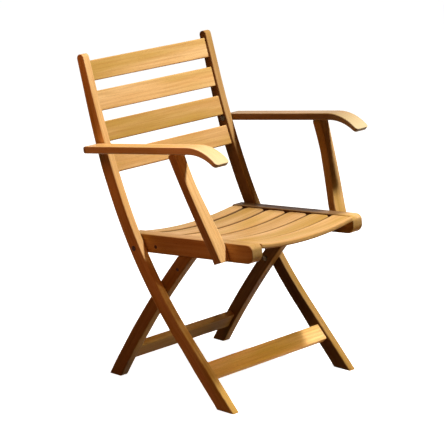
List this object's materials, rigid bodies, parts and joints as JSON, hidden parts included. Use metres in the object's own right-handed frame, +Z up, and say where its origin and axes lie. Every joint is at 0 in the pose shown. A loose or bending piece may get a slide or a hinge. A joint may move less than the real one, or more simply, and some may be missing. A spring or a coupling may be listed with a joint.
{
  "type": "folding armchair",
  "caption": "Folding outdoor armchair in teak with a slatted dished seat, curved slatted back posts and flat arms that fold up with the seat",
  "frame": {"origin": "on the floor at the middle of the chair's bounding box", "axes": "+Z up, the chair faces -Y, +X is the sitter's left"},
  "size_m": [0.614, 0.5997, 0.88],
  "materials": {
    "teak": "sanded and oiled, satin",
    "plug_wood": "dark end grain, oiled",
    "fitting_metal": "dulled brass"
  },
  "bodies": {
    "back_frame": {"post_left": "teak", "post_right": "teak", "back_slat_1": "teak", "back_slat_2": "teak", "back_slat_3": "teak", "back_slat_4": "teak", "front_stretcher": "teak", "seat_bolts": "fitting_metal", "leg_bolts": "fitting_metal", "arm_bolts": "fitting_metal", "post_plugs": "plug_wood", "seat_washers": "fitting_metal", "leg_washers": "fitting_metal", "arm_washers": "fitting_metal"},
    "seat": {"seat_rail_left": "teak", "seat_rail_right": "teak", "seat_slat_1": "teak", "seat_slat_2": "teak", "seat_slat_3": "teak", "seat_slat_4": "teak", "seat_slat_5": "teak", "seat_slat_6": "teak", "seat_bearer": "teak", "bearer_plugs": "plug_wood", "arm_post_bolts": "fitting_metal", "arm_post_washers": "fitting_metal"},
    "rear_legs": {"rear_leg_left": "teak", "rear_leg_right": "teak", "rear_stretcher": "teak", "leg_top_pins": "plug_wood"},
    "arm_left": {"arm_left": "teak", "arm_hinge_left": "fitting_metal"},
    "arm_right": {"arm_right": "teak", "arm_hinge_right": "fitting_metal"},
    "arm_post_left": {"arm_post_left": "teak", "arm_hinge_pin_left": "fitting_metal"},
    "arm_post_right": {"arm_post_right": "teak", "arm_hinge_pin_right": "fitting_metal"}
  },
  "joints": [
    {"name": "seat_fold", "type": "hinge", "parent": "back_frame", "child": "seat", "pos_m": [0, 0.0944, 0.3818], "axis": [-1, 0, 0], "range_deg": [0, 92]},
    {"name": "rear_leg_fold", "type": "hinge", "parent": "back_frame", "child": "rear_legs", "pos_m": [0, 0.0186, 0.2757], "axis": [-1, 0, 0], "range_deg": [0, 58]},
    {"name": "arm_left_fold", "type": "hinge", "parent": "back_frame", "child": "arm_left", "pos_m": [0.28, 0.2063, 0.6414], "axis": [-1, 0, 0], "range_deg": [0, 92]},
    {"name": "arm_post_left_swing", "type": "hinge", "parent": "seat", "child": "arm_post_left", "pos_m": [0.243, -0.2028, 0.408], "axis": [-1, 0, 0], "range_deg": [-92, 0]},
    {"name": "arm_right_fold", "type": "hinge", "parent": "back_frame", "child": "arm_right", "pos_m": [-0.28, 0.2063, 0.6414], "axis": [-1, 0, 0], "range_deg": [0, 92]},
    {"name": "arm_post_right_swing", "type": "hinge", "parent": "seat", "child": "arm_post_right", "pos_m": [-0.243, -0.2028, 0.408], "axis": [-1, 0, 0], "range_deg": [-92, 0]}
  ],
  "couplings": [
    {"joint": "rear_leg_fold", "follows": "seat_fold", "ratio": 0.63},
    {"joint": "arm_left_fold", "follows": "seat_fold", "ratio": 1},
    {"joint": "arm_post_left_swing", "follows": "seat_fold", "ratio": -1},
    {"joint": "arm_right_fold", "follows": "seat_fold", "ratio": 1},
    {"joint": "arm_post_right_swing", "follows": "seat_fold", "ratio": -1}
  ]
}
